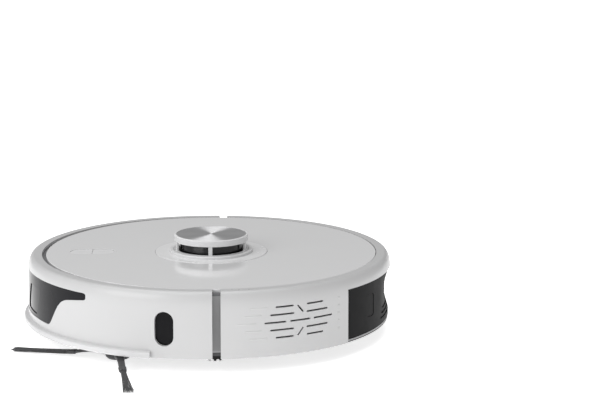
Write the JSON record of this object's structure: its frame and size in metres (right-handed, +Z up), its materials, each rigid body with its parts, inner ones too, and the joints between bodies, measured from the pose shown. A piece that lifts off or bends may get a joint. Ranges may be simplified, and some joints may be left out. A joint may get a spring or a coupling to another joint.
{
  "type": "robot vacuum",
  "caption": "Round robot vacuum with a raised lidar tower, sprung front bumper, smoked sensor window, side brush, roller and rear dustbin.",
  "frame": {"origin": "on the floor under the centre of the round body", "axes": "+X forward, +Y towards the robot's left side, +Z up"},
  "size_m": [0.3643, 0.4155, 0.0947],
  "materials": {
    "top_gloss": "high gloss",
    "shell_satin": "fine satin",
    "trim_satin": "satin",
    "lip_soft": "soft satin",
    "chassis_black": "fine matte",
    "port_black": "semi gloss",
    "window_smoke": "polished smoke",
    "lens_black": "polished",
    "disc_metal": "circular brushed",
    "rotor_black": "gloss",
    "steel": "turned",
    "contact_metal": "bright",
    "tyre_rubber": "matte rubber",
    "brush_rubber": "matte rubber",
    "roller_rubber": "matte rubber",
    "bristle": "nylon strands",
    "cell_wrap": null,
    "case_grey": "matte",
    "board_green": "solder mask",
    "filter_paper": "pleated",
    "mesh_black": "woven mesh",
    "bin_smoke": "smoke plastic"
  },
  "bodies": {
    "root": {"chassis_base": "chassis_black", "top_frame": "case_grey", "rear_shell": "shell_satin", "top_plate": "top_gloss", "lidar_trim_ring": "trim_satin", "lidar_base": "trim_satin", "lidar_motor": "steel", "main_board": "board_green", "battery_case": "case_grey", "battery_cells": "cell_wrap", "battery_cover": "chassis_black", "fan_housing": "case_grey", "air_duct": "case_grey", "brush_housing": "chassis_black", "brush_motor": "case_grey", "side_brush_motor": "case_grey", "speaker": "case_grey", "grille_screen": "mesh_black", "bumper_switches": "case_grey", "cliff_sensors": "lens_black", "charge_contacts": "contact_metal", "suspension_pins": "steel", "suspension_springs": "steel", "caster_socket": "chassis_black", "chassis_screws": "steel", "button_bezel": "trim_satin"},
    "bumper": {"bumper_shell": "shell_satin", "bumper_lip": "lip_soft", "front_window": "window_smoke", "front_sensor_lenses": "lens_black", "side_sensor_window": "lens_black"},
    "left_arm": {"left_gearbox": "chassis_black"},
    "left_wheel": {"left_wheel_hub": "case_grey", "left_tyre": "tyre_rubber"},
    "right_arm": {"right_gearbox": "chassis_black"},
    "right_wheel": {"right_wheel_hub": "case_grey", "right_tyre": "tyre_rubber"},
    "caster_fork": {"caster_fork": "chassis_black", "caster_axle": "steel"},
    "caster_wheel": {"caster_wheel": "trim_satin"},
    "main_brush": {"roller_core": "case_grey", "roller_fins": "roller_rubber"},
    "side_brush": {"side_brush_hub": "brush_rubber", "side_brush_arms": "brush_rubber", "side_brush_bristles": "bristle", "side_brush_screw": "steel"},
    "lidar_cover": {"lidar_cover": "trim_satin", "lidar_cap_disc": "disc_metal"},
    "lidar_rotor": {"lidar_rotor": "rotor_black"},
    "fan_impeller": {"fan_impeller": "case_grey"},
    "power_button": {"power_button": "trim_satin"},
    "home_button": {"home_button": "trim_satin"},
    "dustbin": {"dustbin_body": "bin_smoke", "dustbin_lid": "bin_smoke", "dustbin_face": "port_black", "filter_frame": "trim_satin", "filter_media": "filter_paper"},
    "evac_flap": {"evac_flap": "brush_rubber"},
    "bin_latch": {"bin_latch": "port_black"},
    "brush_guard": {"brush_guard": "chassis_black"}
  },
  "joints": [
    {"name": "bumper_press", "type": "slide", "parent": "root", "child": "bumper", "axis": [-1, 0, 0], "range_m": [0, 0.0035], "stiffness_N_per_m": 300, "springref_m": -0.002},
    {"name": "left_suspension", "type": "hinge", "parent": "root", "child": "left_arm", "pos_m": [0.046, 0.0995, 0.04], "axis": [0, -1, 0], "range_deg": [0, 26], "stiffness_Nm_per_rad": 0.15, "springref_deg": 74.48},
    {"name": "right_suspension", "type": "hinge", "parent": "root", "child": "right_arm", "pos_m": [0.046, -0.0995, 0.04], "axis": [0, -1, 0], "range_deg": [0, 26], "stiffness_Nm_per_rad": 0.15, "springref_deg": 74.48},
    {"name": "left_wheel_spin", "type": "hinge", "parent": "left_arm", "child": "left_wheel", "pos_m": [-0.006, 0.1175, 0.034], "axis": [0, 1, 0], "continuous": true},
    {"name": "right_wheel_spin", "type": "hinge", "parent": "right_arm", "child": "right_wheel", "pos_m": [-0.006, -0.1175, 0.034], "axis": [0, 1, 0], "continuous": true},
    {"name": "caster_swivel", "type": "hinge", "parent": "root", "child": "caster_fork", "pos_m": [0.132, 0, 0.034], "axis": [0, 0, 1], "continuous": true},
    {"name": "caster_roll", "type": "hinge", "parent": "caster_fork", "child": "caster_wheel", "pos_m": [0.125, 0, 0.013], "axis": [0, 1, 0], "continuous": true},
    {"name": "main_brush_spin", "type": "hinge", "parent": "root", "child": "main_brush", "pos_m": [-0.046, 0, 0.022], "axis": [0, 1, 0], "continuous": true},
    {"name": "side_brush_spin", "type": "hinge", "parent": "root", "child": "side_brush", "pos_m": [0.084, 0.129, 0.0085], "axis": [0, 0, 1], "continuous": true, "deforming": ["side_brush_bristles"]},
    {"name": "lidar_cover_press", "type": "slide", "parent": "root", "child": "lidar_cover", "axis": [0, 0, -1], "range_m": [0, 0.001], "stiffness_N_per_m": 2000, "springref_m": -0.001},
    {"name": "lidar_spin", "type": "hinge", "parent": "root", "child": "lidar_rotor", "pos_m": [0, 0, 0.059], "axis": [0, 0, 1], "continuous": true},
    {"name": "fan_spin", "type": "hinge", "parent": "root", "child": "fan_impeller", "pos_m": [0.01, 0.052, 0.033], "axis": [0, 0, 1], "continuous": true},
    {"name": "power_key_press", "type": "slide", "parent": "root", "child": "power_button", "axis": [0, 0, -1], "range_m": [0, 0.0008], "stiffness_N_per_m": 1200, "springref_m": -0.0005},
    {"name": "home_key_press", "type": "slide", "parent": "root", "child": "home_button", "axis": [0, 0, -1], "range_m": [0, 0.0008], "stiffness_N_per_m": 1200, "springref_m": -0.0005},
    {"name": "dustbin_slide", "type": "slide", "parent": "root", "child": "dustbin", "axis": [-1, 0, 0], "range_m": [0, 0.11]},
    {"name": "evac_flap_swing", "type": "hinge", "parent": "dustbin", "child": "evac_flap", "pos_m": [-0.16473, 0, 0.05415], "axis": [0, -1, 0], "range_deg": [0, 60], "stiffness_Nm_per_rad": 0.01, "springref_deg": -22.92},
    {"name": "bin_latch_press", "type": "slide", "parent": "dustbin", "child": "bin_latch", "axis": [1, 0, 0], "range_m": [0, 0.002], "stiffness_N_per_m": 800, "springref_m": -0.001},
    {"name": "brush_guard_drop", "type": "slide", "parent": "root", "child": "brush_guard", "axis": [0, 0, -1], "range_m": [0, 0.01]}
  ]
}
